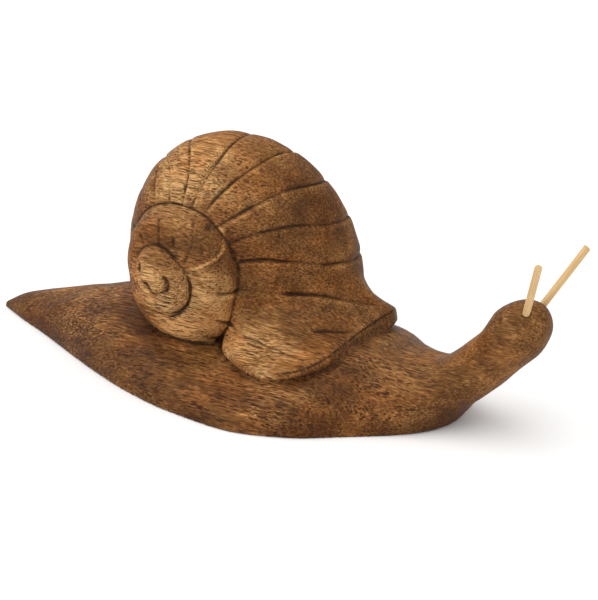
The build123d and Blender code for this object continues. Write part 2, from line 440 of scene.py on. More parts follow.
# The two sticks of the tentacles stand in drilled holes: the line of each is read from its solid.
def stickLine(node):
    points = np.array([tuple(corner.co) for corner in bpy.data.objects[node].data.vertices]) / mm
    middle = points.mean(0)
    along = np.linalg.svd(points - middle, full_matrices=False)[2][0]
    along = along * np.sign(along[2])
    reach = (points - middle) @ along
    away = np.linalg.norm(points - middle - np.outer(reach, along), axis=1)
    foot = middle + along * reach.min()
    return {"foot": foot, "along": along, "length": np.ptp(reach), "radius": away.max()}


sticks = {side: stickLine("tentacle_" + side) for side in ("left", "right")}

bore = {"clearance": 0.05, "sides": 28, "overrun": 4.0, "stepLength": 0.4}


def drillHead(piece):
    drills = []
    around = np.linspace(0, 2 * math.pi, bore["sides"], endpoint=False)
    for stick in sticks.values():
        across = np.cross(stick["along"], (0, 1, 0))
        across /= np.linalg.norm(across)
        other = np.cross(stick["along"], across)
        radius = stick["radius"] + bore["clearance"]
        reaches = np.arange(-bore["clearance"], stick["length"] / 2 + bore["overrun"], bore["stepLength"])
        circle = np.outer(np.cos(around), across) + np.outer(np.sin(around), other)
        rings = stick["foot"] + reaches[:, None, None] * stick["along"] + radius * circle[None]
        drills.append(skinRings(rings))
    drill = newObject("drill", meshFrom("drill", *joined(drills)))
    cut = piece.modifiers.new("bores", "BOOLEAN")
    cut.operation, cut.object, cut.solver = "DIFFERENCE", drill, "EXACT"
    bake(piece)
    bpy.data.objects.remove(drill)


drillHead(snail)
skin = Skin(snail.data)
print("head drilled:", len(skin.points), "points")


# Carving: cuts are measured by how far a point lies from each line, and press the skin inwards.
farOff = 99.0           # mm, too far away to matter
crossing = {"perOctave": 4, "lengths": (0.6, 1.5), "start": (0, 6.28), "level": 1.2}


def bell(gap, width):
    # 1 on a line, fading to either side of it
    return np.exp(-(gap / width) ** 2)


def wobble(points, size, seed, octaves=2):
    # gentle seeded noise, mostly between -1 and 1: a few waves that cross in chance directions
    chance = np.random.default_rng(seed)
    total = np.zeros(len(points))
    for i in range(octaves * crossing["perOctave"]):
        octave = 1 + i // crossing["perOctave"]
        direction = chance.normal(size=3)
        direction /= np.linalg.norm(direction)
        length = size * chance.uniform(*crossing["lengths"]) / octave
        start = chance.uniform(*crossing["start"])
        total += np.sin(points @ direction * 2 * math.pi / length + start) / octave
    return total / (octaves * crossing["level"])


def uneven(points, traits, line=0):
    # a strength that changes from place to place; the line's number makes each line different
    noise = wobble(points, traits["size"], traits["seed"] + line, traits.get("octaves", 2))
    least, most = traits.get("least", -farOff), traits.get("most", farOff)
    return np.clip(traits["middle"] + traits["swing"] * noise, least, most)


def hollowness(skin, rounds, pull=0.8):
    # how far each point lies below the mean of its surroundings
    spread = skin.points.copy()
    for _ in range(rounds):
        spread += pull * (skin.neighbours(spread) - spread)
    return ((spread - skin.points) * skin.normals()).sum(1)


# Pairs of numbers named as borders are where a cut or a zone has faded out and where it is whole.
sutures = {
    "depth": 0.55, "width": 0.36,
    "down": 0.78,           # depth of the sutures below the apex, as a share of the spire's size there
    "reachBorder": (5.0, 3.0),
    # the line: turn and distance from the spire's axis, and how strongly it is cut there
    "line": [
        (0.80, 6.0), (0.86, 6.4), (0.95, 7.0), (1.00, 7.35), (1.11, 7.6), (1.17, 7.9), (1.22, 8.4),
        (1.27, 8.95), (1.34, 9.55), (1.39, 9.9), (1.44, 10.1), (1.47, 9.8), (1.50, 9.0), (1.54, 8.4),
        (1.60, 8.4), (1.75, 11.2),
        (1.80, 12.2), (1.87, 13.2), (1.92, 14.3), (1.97, 15.0), (2.04, 16.1), (2.09, 16.8), (2.15, 17.1),
        (2.23, 17.7), (2.28, 17.95), (2.32, 18.3), (2.37, 19.2), (2.41, 19.9), (2.46, 20.3), (2.70, 21.5),
    ],
    "strength": [
        (0.82, 0), (0.90, 0.6), (0.98, 0.9), (1.10, 0.8), (1.20, 0.8), (1.30, 1.15), (1.42, 1.1),
        (1.50, 0.7), (1.56, 0), (1.78, 0), (1.86, 0.7), (1.92, 0.9), (2.00, 0.85), (2.10, 0.85),
        (2.16, 1.0), (2.30, 0.9), (2.40, 1.0), (2.50, 0.8), (2.60, 0),
    ],
    "unevenDepth": {"seed": 3, "size": 5, "octaves": 3, "middle": 0.9, "swing": 0.3},
    "unevenWidth": {"seed": 4, "size": 6, "octaves": 3, "middle": 0.85, "swing": 0.3},
    "firstTurn": 0.80,
}
# The joined forms meet in wide valleys between the turns. They are filled, for the real ones are narrow cuts.
valleys = {
    "width": 2.0, "rounds": 22,
    "firstTurn": -0.6, "turnBorder": (-1, 2), "lastTurnBorder": (2.42, 2.30),
    "depthBorder": (20, 14), "reachBorder": (9, 7),
}


def besideTurn(turn, away, ring, first):
    # signed distance from the nearest ring of the spiral (outwards is positive) and the turn there
    best = np.full(len(turn), farOff)
    bestTurn = np.zeros(len(turn))
    for whole in range(-1, 4):      # whole turns from the tip outwards
        at = turn + whole
        gap = away - ring(at)
        use = (np.abs(gap) < np.abs(best)) & (at > first) & (at < spire["lastTurn"] + 1)
        best = np.where(use, gap, best)
        bestTurn = np.where(use, at, bestTurn)
    return best, bestTurn


def sutureRing(turn):
    line = np.array(sutures["line"])
    return curveThrough(line[:, 0], line[:, 1], turn)[:, 0]


def besideSuture(depth, turn):
    # distance above or below the suture of that turn
    return np.abs(depth - sutures["down"] * spireSize(turn))


def fillValleys():
    turn, away, depth = spirePlace(skin.points)
    gap, at = besideTurn(turn, away, spireRing, valleys["firstTurn"])
    valley = bell(gap, valleys["width"] * smoothstep(*valleys["turnBorder"], at))
    valley *= smoothstep(*valleys["depthBorder"], depth)
    valley *= smoothstep(*valleys["reachBorder"], besideSuture(depth, at))
    valley *= smoothstep(*valleys["lastTurnBorder"], at)
    skin.smooth(valleys["rounds"], weight=valley)


fillValleys()

# Zones: where each point lies on the spire, the shell and the lip, measured once before the cuts
zones = {
    "spireSideBorder": (0.7, 0.1),          # mm outside the spire's last turn
    "spireCoreBorder": (0.72, 0.66),        # share of the spire's widest reach
    "spireDepthBorder": (22, 18),           # mm below the apex
    "overLipBorder": (0.8, 2.5),            # mm above the lip's edge
    "outerWallBorder": (1.32, 1.22), "innerWallBorder": (0.9, 0.95),    # shares of the shell's size
}


def spireEdge(turn, depth):
    # distance from the axis to the outside of the spire's last turn, at each angle and depth
    at = (turn - spire["lastTurn"]) % 1 + spire["lastTurn"] - 1
    fade = np.interp(at, *np.array(spire["fade"]).T)
    (crownOut, crownDown), (wallOut, wallDown) = spire["crown"], spire["wall"]
    slope = np.clip((wallDown - depth / spireSize(at) / fade) / (wallDown - crownDown), 0, 1)
    slope = slope ** (1 / spire["boxiness"])
    out = crownOut + (wallOut - crownOut) * (1 - slope ** 2) ** (spire["boxiness"] / 2)
    return spireRing(at) * fade * out


points = skin.points
normals = skin.normals()
turn, away, depth = spirePlace(points)
level = shellLevel(points)
sutureGap, sutureTurn = besideTurn(turn, away, sutureRing, sutures["firstTurn"])
edgeAway = spireEdge(turn, depth)
onSpire = np.maximum(
    smoothstep(*zones["spireSideBorder"], away - edgeAway),
    smoothstep(*zones["spireCoreBorder"], away / spireEdge(turn, farOff)),
)
onSpire *= smoothstep(*zones["spireDepthBorder"], depth)
lipAngle = np.degrees(np.arctan2(points[:, 1] - lip["middle"][1], points[:, 0] - lip["middle"][0]))
lipReach = np.hypot(points[:, 0] - lip["middle"][0], points[:, 1] - lip["middle"][1])
lipRows = np.array(lip["edge"])
edgeReach, lipTop, lipThick, _ = curveThrough(lipRows[:, 0], lipRows[:, 1:], lipAngle).T
belowTop = lipTop - points[:, 2]
onShell = (1 - onSpire) * smoothstep(*zones["overLipBorder"], -belowTop)
onShell *= smoothstep(*zones["outerWallBorder"], level) * smoothstep(*zones["innerWallBorder"], level)


def cutSutures():
    rows = np.array(sutures["strength"])
    strength = np.interp(sutureTurn, rows[:, 0], rows[:, 1]) * uneven(points, sutures["unevenDepth"])
    cut = bell(sutureGap, sutures["width"] * uneven(points, sutures["unevenWidth"])) * strength
    return cut * smoothstep(*sutures["reachBorder"], besideSuture(depth, sutureTurn))


# The cut between the spire and the foot follows the hollow where the two meet.
spireFoot = {
    "depth": 0.30, "hollowFrom": 0.02, "hollowSpan": 0.035, "hollowRounds": 3,
    "levelBorder": (1.09, 1.16), "sideBorder": (2.0, 1.2), "depthBorder": (21, 17), "heightBorder": (14, 11),
}


def cutSpireFoot():
    hollow = hollowness(skin, spireFoot["hollowRounds"])
    cut = np.clip((hollow - spireFoot["hollowFrom"]) / spireFoot["hollowSpan"], 0, 1)
    cut *= smoothstep(*spireFoot["levelBorder"], level)
    cut *= smoothstep(*spireFoot["sideBorder"], np.abs(away - edgeAway))
    cut *= smoothstep(*spireFoot["depthBorder"], depth)
    return cut * smoothstep(*spireFoot["heightBorder"], points[:, 2])


# Growth lines: a long slope down into each line and a short step up behind it
growth = {
    "depth": 0.60, "slope": 2.4, "step": 0.6,
    # each line: angle (degrees) at the spire and at the shell's far outline, bow between them, depth
    # share, and how far from the spire's axis the line begins (0 is at the spire's own edge)
    "lines": [
        (-58, -62, 0, 0.6, 0), (-38, -41, 0, 0.7, 0), (-18, -21, 0, 0.7, 0), (0, -13, -16, 0.75, 0),
        (13, 3, -11, 0.8, 0), (21, 19.5, 0, 0.85, 0), (32.5, 37.5, 0, 1.1, 0), (47, 54, 0, 1.15, 0),
        (61.5, 70.5, 1, 1.05, 0), (77, 87.5, 1.5, 1.25, 0), (101.5, 101.5, -3.8, 1.1, 25),
    ],
    "across": (9, 34),      # depth below the apex at the two ends of a line
    "startBorder": (-0.2, 1.0), "lateStartBorder": (-2, 3),
    "creaseShare": 0.45, "creaseWidth": 0.5,
    "darkBefore": 0.2, "darkWidth": 0.6,            # the dark line in the crease, grime and painted shade
    "rimBehind": 0.75, "rimWidth": 0.35,            # the edge of the step, which gets a painted highlight
    "wander": {"seed": 100, "size": 26, "middle": 0, "swing": 0.7},
    "unevenDepth": {"seed": 200, "size": 15, "middle": 0.85, "swing": 0.4, "least": 0.5, "most": 1.2},
    "unevenDark": {"seed": 300, "size": 12, "middle": 0.62, "swing": 0.6, "least": 0.25, "most": 1.0},
}


def cutGrowthLines():
    # the cut, the dark line in it and the painted highlight on the edge beside it
    angle = np.degrees(2 * math.pi * turn)
    across = smoothstep(*growth["across"], depth)
    cut, line, rim = np.zeros((3, len(points)))
    for near, far, bow, share, begin in growth["lines"]:
        lineAngle = near + (far - near) * across + 4 * bow * across * (1 - across)
        lineAngle += uneven(points, growth["wander"], int(near))
        gap = np.radians((angle - lineAngle + 180) % 360 - 180) * away
        if begin:
            begins = smoothstep(*(begin + border for border in growth["lateStartBorder"]), away)
        else:
            begins = smoothstep(*growth["startBorder"], away - edgeAway)
        before = gap < 0
        slope = np.clip(1 + gap / growth["slope"], 0, 1) ** 2 * before
        step = np.clip(1 - gap / growth["step"], 0, 1) ** 2 * ~before
        crease = bell(gap, growth["creaseWidth"]) * before
        profile = (1 - growth["creaseShare"]) * slope + growth["creaseShare"] * crease + step
        strength = share * begins
        cut = np.maximum(cut, strength * uneven(points, growth["unevenDepth"], int(near)) * profile)
        dark = bell(gap + growth["darkBefore"], growth["darkWidth"])
        line = np.maximum(line, strength * uneven(points, growth["unevenDark"], int(near)) * dark)
        rim = np.maximum(rim, strength * bell(gap - growth["rimBehind"], growth["rimWidth"]))
    return cut * onShell, line * onShell, rim * onShell


# The lip's rim: a fine line along its upper edge, short slanting nicks below it, and a groove under it
lipRim = {
    "innerBorder": (-1.0, -0.4), "outerBorder": (2.4, 1.6),     # mm from the edge
    "fadeFrom": 10, "fadeTo": 8,                                # degrees at the two ends of a line
    "line": {"below": 0.35, "width": 0.34, "depth": 0.32, "from": -60, "to": 24},
    "lineWander": {"seed": 31, "size": 6, "middle": 0, "swing": 0.1},
    "nicks": {"spacing": 1.15, "lean": 0.7, "width": 0.24, "depth": 0.16, "from": -52, "to": 18},
    "nickWander": {"seed": 32, "size": 5, "middle": 0, "swing": 0.5},
    "nickUneven": {"seed": 33, "size": 4, "middle": 0.7, "swing": 0.8, "least": 0, "most": 1},
    "nickTopBorder": (0.4, 0.8), "nickEndBorder": (0.2, -0.4),
    "groove": {"below": 0.15, "width": 0.45, "depth": 0.45},
}
onRim = smoothstep(*lipRim["innerBorder"], lipReach - edgeReach)
onRim *= smoothstep(*lipRim["outerBorder"], lipReach - edgeReach)


def alongRim(part):
    # fades a line out at its two ends round the lip
    start = smoothstep(part["from"], part["from"] + lipRim["fadeFrom"], lipAngle)
    return start * smoothstep(part["to"], part["to"] - lipRim["fadeTo"], lipAngle)


def cutLipRim():
    # the line, the nicks and the groove
    line, nicks, groove = lipRim["line"], lipRim["nicks"], lipRim["groove"]
    lineCut = bell(belowTop - line["below"] - uneven(points, lipRim["lineWander"]), line["width"])
    lineCut *= onRim * alongRim(line)
    passing = np.radians(lipAngle) * edgeReach + nicks["lean"] * belowTop
    passing += uneven(points, lipRim["nickWander"])
    beat = np.abs((passing / nicks["spacing"]) % 1 - 0.5) * nicks["spacing"]
    nickCut = bell(beat, nicks["width"]) * onRim * alongRim(nicks) * uneven(points, lipRim["nickUneven"])
    nickCut *= smoothstep(*lipRim["nickTopBorder"], belowTop)
    nickCut *= smoothstep(*lipRim["nickEndBorder"], belowTop - lipThick)
    grooveCut = bell(belowTop - lipThick - groove["below"], groove["width"]) * onRim
    return lineCut, nickCut, grooveCut


# Single marks of the knife: points along the mark (mm), half width, depth, and how dark it is painted, with
# grime and shade in the cut.
# A depth below 0 is a worn ridge, and a darkness below 0 is a painted highlight.
knifeMarks = [
    ([(-11.3, -22.0, 28.6), (-10.4, -21.7, 27.7), (-9.6, -21.4, 26.6), (-9.5, -21.2, 25.2),
      (-10.1, -21.1, 24.0), (-11.7, -21.2, 23.0), (-13.4, -22.0, 23.3), (-14.6, -22.4, 24.5),
      (-15.4, -22.8, 25.8)], 0.50, 0.75, 0.85),
    ([(-10.0, -21.3, 26.8), (-9.5, -21.2, 25.2), (-10.4, -21.1, 23.8)], 0.80, 0.30, 0.70),
    ([(-17.0, -22.1, 26.4), (-15.4, -22.6, 25.2), (-13.9, -22.4, 23.9)], 0.95, 0.80, 1.00),
    ([(-17.7, -21.3, 29.8), (-17.4, -21.6, 28.4), (-16.9, -21.9, 27.0)], 0.75, 0.60, 0.95),
    ([(-19.9, -18.9, 30.2), (-18.5, -19.3, 31.6)], 0.80, 0.30, 0.80),
    ([(-7.4, -17.2, 20.2), (-8.4, -16.9, 18.8), (-9.6, -16.8, 17.2), (-12.6, -16.6, 15.9),
      (-14.5, -16.7, 16.1), (-16.6, -17.0, 16.8), (-18.1, -17.3, 17.6), (-18.9, -18.6, 19.4)],
     0.46, 0.25, 0.88),
    ([(0.0, -16.8, 24.2), (2.6, -15.2, 24.4), (4.4, -12.0, 24.3)], 0.55, 0.50, 0.75),
    ([(-0.8, -16.6, 23.4), (2.4, -15.0, 23.5), (4.0, -12.6, 23.4)], 0.30, 0.0, -0.13),
    ([(-0.8, -15.8, 17.7), (1.0, -13.5, 16.4), (2.4, -11.8, 15.4)], 0.60, 0.40, 0.80),
    ([(-3.6, -13.5, 11.8), (-1.8, -11.0, 10.9)], 0.90, 0.35, 0.75),
    ([(-14.6, -17.0, 40.0), (-13.6, -18.6, 37.0), (-13.3, -19.2, 33.6)], 0.42, 0.28, 0.70),
    ([(-18.8, -18.3, 35.8), (-17.6, -19.3, 33.2)], 0.46, 0.25, 0.62),
    ([(-9.7, -18.6, 36.6), (-9.5, -19.0, 34.0)], 0.70, 0.28, 0.75),
    ([(-4.2, -15.3, 39.0), (-5.1, -18.2, 34.8), (-7.0, -19.0, 29.9)], 0.50, 0.22, 0.52),
    ([(-2.6, -14.0, 39.6), (-3.4, -14.8, 38.2)], 1.10, 0.22, 0.66),
    ([(-1.9, -13.8, 40.2), (0.2, -13.1, 37.6), (1.0, -14.2, 34.4), (0.5, -16.2, 32.7), (-2.0, -18.0, 31.0),
      (-4.9, -18.8, 29.4)], 0.36, -0.22, -0.34),
    ([(1.9, -14.0, 34.2), (0.9, -16.9, 31.2), (-2.2, -18.5, 29.2)], 0.80, 0.20, 0.42),
    ([(2.0, -13.4, 34.6), (1.8, -14.4, 32.4)], 1.10, 0.10, 0.35),
    ([(-4.9, -18.6, 28.7), (-2.5, -18.2, 28.5)], 0.70, 0.15, 0.55),
    ([(-6.5, -18.8, 33.0), (-7.8, -19.1, 31.2), (-6.8, -19.0, 29.6)], 0.30, 0.0, -0.10),
    ([(3.9, -13.4, 14.5), (8.0, -13.9, 14.1), (12.2, -14.7, 13.9), (17.2, -15.9, 14.0), (20.0, -16.8, 13.9)],
     0.26, 0.24, 0.85),
    ([(14.1, -16.0, 13.3), (19.8, -16.9, 13.9), (25.5, -17.8, 13.9)], 0.24, 0.20, 0.75),
    ([(20.4, -9.3, 17.1), (24.6, -6.7, 17.4), (28.4, -4.0, 17.0)], 0.60, 0.42, 0.80),
    ([(11.5, -31.0, 3.2), (16.0, -29.6, 4.0), (21.0, -27.4, 5.6)], 0.22, 0.12, 0.40),
    ([(60.5, -6.3, 17.5), (63.5, -6.6, 20.0), (66.5, -6.8, 23.0)], 0.20, 0.08, 0.30),
]
knife = {
    # how fast a mark grows to its full width from each end, and its least share there
    "start": (8, 0.4), "end": (9, 0.5),
    "thinnest": 0.5, "leastCut": 0.02, "reach": 3,
}


def besideMark(path):
    # distance from a mark, measured along the skin, and the share of the mark's length that is passed
    path = np.array(path, float)
    lengths = np.linalg.norm(np.diff(path, axis=0), axis=1)
    best, passed = np.full(len(points), farOff), np.zeros(len(points))
    reach = lengths.sum() / 2 + knife["reach"]
    near = np.where(np.linalg.norm(points - path.mean(0), axis=1) < reach)[0]
    for k, (start, end) in enumerate(zip(path[:-1], path[1:])):
        share = np.clip((points[near] - start) @ (end - start) / lengths[k] ** 2, 0, 1)
        gap = points[near] - start - share[:, None] * (end - start)
        gap -= normals[near] * (gap * normals[near]).sum(1)[:, None]
        gap = np.linalg.norm(gap, axis=1)
        closer = gap < best[near]
        passed[near[closer]] = (lengths[:k].sum() + share[closer] * lengths[k]) / lengths.sum()
        best[near[closer]] = gap[closer]
    return best, passed


def cutKnifeMarks():
    # the cut, how dark it is painted and how much painted highlight it gets
    cut, dark, pale = np.zeros((3, len(points)))
    (startRate, startLeast), (endRate, endLeast) = knife["start"], knife["end"]
    for path, width, cutDepth, darkness in knifeMarks:
        gap, passed = besideMark(path)
        taper = np.clip(startRate * passed, startLeast, 1) * np.clip(endRate * (1 - passed), endLeast, 1)
        shape = bell(gap, width * (knife["thinnest"] + (1 - knife["thinnest"]) * taper)) * taper
        if cutDepth < 0:
            cut = np.where(cut > knife["leastCut"], cut, cutDepth * shape)
        else:
            cut = np.maximum(cut, cutDepth * shape)
        dark = np.maximum(dark, darkness * shape)
        pale = np.maximum(pale, -darkness * shape)
    return cut, dark, pale


# A dished rim where each stick enters the head
mouth = {
    "reach": 2.5, "depth": 0.12, "width": 0.5, "darkWidth": 0.35,
    "holeBorder": (0.6, 0.9), "sharpBorder": (0.1, 0.5),        # as darkness: kept out of the cut, kept sharp
}


def dishMouths():
    cut, dark = np.zeros((2, len(points)))
    for stick in sticks.values():
        offset = points - stick["foot"]
        reach = offset @ stick["along"]
        aside = np.linalg.norm(offset - np.outer(reach, stick["along"]), axis=1) - stick["radius"]
        beside = (aside < mouth["reach"]) & (reach > 0) & (reach < stick["length"])
        aside = np.where(beside, np.maximum(aside, 0), farOff)
        cut = np.maximum(cut, mouth["depth"] * bell(aside, mouth["width"]))
        dark = np.maximum(dark, bell(aside, mouth["darkWidth"]))
    return cut, dark


# Flats left by the knife all over the block
flats = {"depth": 0.10, "size": 9.0, "seed": 17, "heightBorder": (0.5, 3)}
# Smoothing that takes the sharpness off all the cuts
worn = {"rounds": 1, "strength": 0.3}

sutureCut = cutSutures()
footCut = cutSpireFoot()
growthCut, growthLine, growthRim = cutGrowthLines()
rimCut, nickCut, grooveCut = cutLipRim()
markCut, markDark, markHighlight = cutKnifeMarks()
mouthCut, mouthDark = dishMouths()

pressIn = np.maximum(sutures["depth"] * sutureCut, growth["depth"] * growthCut) + markCut
pressIn += spireFoot["depth"] * footCut
pressIn += lipRim["line"]["depth"] * rimCut + lipRim["nicks"]["depth"] * nickCut
pressIn += lipRim["groove"]["depth"] * grooveCut
pressIn += mouthCut * (1 - smoothstep(*mouth["holeBorder"], mouthDark))
flatShape = wobble(points, flats["size"], flats["seed"])
pressIn += flats["depth"] * flatShape * smoothstep(*flats["heightBorder"], points[:, 2])
skin.points -= normals * pressIn[:, None]
skin.smooth(worn["rounds"], worn["strength"], 1 - smoothstep(*mouth["sharpBorder"], mouthDark))
skin.points[:, 2] = np.maximum(skin.points[:, 2], 0)
skin.write()
print("block carved")


# Colour guides for the wood, kept as attributes of the mesh
def keepAttribute(mesh, name, values):
    layer = mesh.attributes.new(name, "FLOAT", "POINT")
    layer.data.foreach_set("value", np.asarray(values, np.float32))


# Grime and painted shade lie in the cuts and in the fine hollows of the skin: how much of them each one holds
grimeAndShade = {
    "sutures": 0.85, "growthLines": 0.66, "mouths": 0.5, "rimLine": 0.85, "nicks": 0.5, "lipGroove": 0.5,
    "spireFoot": 0.9,
    "hollows": 2.4, "hollowFrom": 0.03, "hollowMost": 0.4, "hollowRounds": 6,
    "broadRounds": 60,      # of smoothing, which find the broad hollows that get painted shade
}


def gatherGrimeAndShade():
    fine = np.clip(hollowness(skin, grimeAndShade["hollowRounds"]) - grimeAndShade["hollowFrom"], 0, grimeAndShade["hollowMost"])
    lines = np.maximum(grimeAndShade["sutures"] * sutureCut, grimeAndShade["growthLines"] * growthLine)
    return np.maximum.reduce([
        np.clip(lines + grimeAndShade["hollows"] * fine, 0, 1), markDark, grimeAndShade["mouths"] * mouthDark,
        grimeAndShade["rimLine"] * rimCut, grimeAndShade["nicks"] * nickCut, grimeAndShade["lipGroove"] * grooveCut,
        grimeAndShade["spireFoot"] * footCut,
    ])


keepAttribute(snail.data, "grimeAndShade", gatherGrimeAndShade())
# the broad hollows, which guide the painted shade
keepAttribute(snail.data, "hollow", np.clip(hollowness(skin, grimeAndShade["broadRounds"]), -1, 1))

# Paler and darker washes, partly the wood's own tone and partly painted light and shade (paler on the lit
# left of the shell; darker on its front, under the lip, in the hollow by the tail and under the neck): place,
# reach (mm) and strength
toneAndLightWashes = {
    "shell": [
        ((-11, -20, 20), 12, 0.38), ((-3, -17, 16), 5, 0.06), ((-9, -20, 35), 8, -0.10),
        ((-10, -17, 12), 8, 0.36), ((12, -18, 13), 10, 0.30),
        ((3, -14, 13), 6, 0.14), ((24, -12, 16), 8, -0.10), ((14, -8, 20), 7, -0.03), ((0, -17, 27), 6, 0.16),
        ((18, -18, 13), 6, 0.06), ((-14.5, -23.5, 26), 5, 0.32),
        ((-7, -12, 50), 11, 0.38), ((-16, -14, 44), 9, 0.12), ((20, 2, 30), 12, 0.04), ((8, -6, 22), 8, 0.04),
        ((2, -7, 56), 8, 0.02), ((17, 2, 45), 14, -0.07), ((19, 0, 36), 10, -0.05), ((0, 6, 52), 12, 0.05),
        ((-12, 20, 26), 12, 0.14), ((8, 18, 13), 9, 0.12),
    ],
    "foot": [
        ((-19, -12, 10), 8, -0.20), ((31, -15, 11), 6, -0.16), ((38, -19, 6), 9, -0.07),
        ((60, -4, 8), 11, -0.06), ((72, -4, 24), 10, -0.01), ((26, -2, 19), 7, -0.03),
        ((-64, 0, 5), 12, -0.02), ((-32, -18, 5), 5, -0.06), ((-22, -24, 5), 4, -0.08),
        ((-6, -26, 7), 12, 0.08), ((-40, -10, 10), 14, 0.12), ((45, -8, 14), 9, 0.05),
        ((19, -27, 6), 8, 0.12), ((57, -6, 16), 10, 0.07), ((51, -5, 4), 7, -0.24),
    ],
}
washSettings = {
    "stepHighlight": 0.07,     # paler, a painted highlight on the step's edge; the next two are darker
    # darker near the floor, partly darker wood and partly painted contact shadow
    "nearFloor": 0.09, "floorBorder": (9, 1), "rimFace": 0.04, "rimFaceBorder": (0.2, 0.7),
    # the foot's washes end at the shell and under the lip
    "footBorder": (1.05, 1.12), "underLip": 1.5, "lipEndFade": 4, "softenRounds": 3,
    "goldFrom": 0.1, "goldFull": 0.2,           # strengths of a wash where the wood turns golden
    # the neck, the tail and the dome show fewer pores
    "neckBorder": (44, 60), "neckPores": 0.5, "tailBorder": (-40, -55), "tailPores": 0.35, "domePores": 0.35,
}


def findFoot():
    # 1 on the foot and neck, 0 on the shell
    firstAngle, lastAngle = lipRows[0, 0], lipRows[-1, 0]
    besideLip = smoothstep(firstAngle - washSettings["lipEndFade"], firstAngle, lipAngle)
    besideLip *= smoothstep(lastAngle + washSettings["lipEndFade"], lastAngle, lipAngle)
    free = np.where(lipTop - skin.points[:, 2] > washSettings["underLip"], 1, 1 - besideLip)
    onFoot = smoothstep(*washSettings["footBorder"], level) * (1 - onSpire) * free
    for _ in range(washSettings["softenRounds"]):
        onFoot = skin.neighbours(onFoot)
    return onFoot


def washWood():
    wash = markHighlight + washSettings["stepHighlight"] * growthRim
    wash -= washSettings["nearFloor"] * smoothstep(*washSettings["floorBorder"], skin.points[:, 2])
    wash -= washSettings["rimFace"] * onRim * smoothstep(*washSettings["rimFaceBorder"], belowTop)
    gold = np.zeros(len(wash))
    onFoot = findFoot()
    for part, share in (("shell", 1 - onFoot), ("foot", onFoot)):
        for middle, reach, strength in toneAndLightWashes[part]:
            far = np.linalg.norm(skin.points - np.array(middle), axis=1)
            soft = bell(far, reach) * share
            wash += strength * soft
            if strength > washSettings["goldFrom"]:
                gold = np.maximum(gold, soft * min(1, strength / washSettings["goldFull"]))
    pored = 1 - washSettings["neckPores"] * smoothstep(*washSettings["neckBorder"], skin.points[:, 0])
    pored -= washSettings["tailPores"] * smoothstep(*washSettings["tailBorder"], skin.points[:, 0])
    pored *= 1 - washSettings["domePores"] * (1 - onFoot) * (1 - gold)
    return {"pored": pored, "wash": wash, "gold": gold}


for name, values in washWood().items():
    keepAttribute(snail.data, name, values)
shadeSmooth(snail)
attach(snail, "root")
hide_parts("carved_snail")
print("block washed")


# Materials
class Recipe:
    # adds and links shader nodes of one material
    def __init__(self, name):
        self.material = bpy.data.materials.new(name)
        self.material.use_nodes = True
        self.tree = self.material.node_tree
        self.shader = self.tree.nodes["Principled BSDF"]

    def put(self, socket, value):
        if isinstance(value, bpy.types.NodeSocket):
            self.tree.links.new(value, socket)
        elif value is not None:
            socket.default_value = value

    def node(self, kind, inputs=None, **settings):
        made = self.tree.nodes.new(kind)
        for name, value in settings.items():
            setattr(made, name, value)
        for name, value in (inputs or {}).items():
            self.put(made.inputs[name], value)
        return made

    def math(self, operation, a, b):
        return self.node("ShaderNodeMath", {0: a, 1: b}, operation=operation).outputs[0]

    def plus(self, a, b):
        return self.math("ADD", a, b)

    def minus(self, a, b):
        return self.math("SUBTRACT", a, b)

    def times(self, a, b):
        return self.math("MULTIPLY", a, b)

    def larger(self, a, b):
        return self.math("MAXIMUM", a, b)

    def vector(self, operation, a, b):
        return self.node("ShaderNodeVectorMath", {0: a, 1: b}, operation=operation).outputs[0]

    def scaled(self, where, scale, shift=(0, 0, 0)):
        return self.node("ShaderNodeMapping", {"Vector": where, "Scale": scale, "Location": shift}).outputs[0]

    def stretched(self, where, size, shift=(0, 0, 0)):
        # size is the length of one patch in mm along X, Y and Z
        return self.scaled(where, tuple(1 / (length * mm) for length in size), shift)

    def noise(self, where, size, detail, roughness=0.5):
        return self.node("ShaderNodeTexNoise", {
            "Vector": self.stretched(where, size), "Scale": 1.0, "Detail": detail, "Roughness": roughness,
        }).outputs["Fac"]

    def range(self, value, low, high, newLow=0.0, newHigh=1.0):
        return self.node("ShaderNodeMapRange", {
            "Value": value, "From Min": low, "From Max": high, "To Min": newLow, "To Max": newHigh,
        }, interpolation_type="SMOOTHSTEP").outputs[0]

    def ramp(self, value, stops):
        made = self.node("ShaderNodeValToRGB", {"Fac": value})
        elements = made.color_ramp.elements
        while len(elements) < len(stops):
            elements.new(1.0)
        for element, (place, colour) in zip(elements, stops):
            element.position, element.color = place, (*colour, 1)
        return made.outputs["Color"]

    def mix(self, share, a, b, blend="MIX"):
        made = self.node("ShaderNodeMix", data_type="RGBA", blend_type=blend)
        for name, value in (("Factor_Float", share), ("A_Color", a), ("B_Color", b)):
            socket = next(entry for entry in made.inputs if entry.identifier == name)
            if isinstance(value, tuple):
                value = (*value, 1)
            self.put(socket, value)
        return next(entry for entry in made.outputs if entry.identifier == "Result_Color")

    def attribute(self, name, output="Fac"):
        made = self.node("ShaderNodeAttribute", attribute_name=name, attribute_type="GEOMETRY")
        return made.outputs[output]

    def surface(self, colour, roughness, gloss, height, bump):
        # bump is its strength and its height in mm
        strength, reach = bump
        relief = self.node("ShaderNodeBump", {"Height": height, "Strength": strength, "Distance": reach * mm})
        for name, value in (
            ("Base Color", colour), ("Roughness", roughness), ("Specular IOR Level", gloss),
            ("Normal", relief.outputs["Normal"]),
        ):
            self.put(self.shader.inputs[name], value)
        return self.material


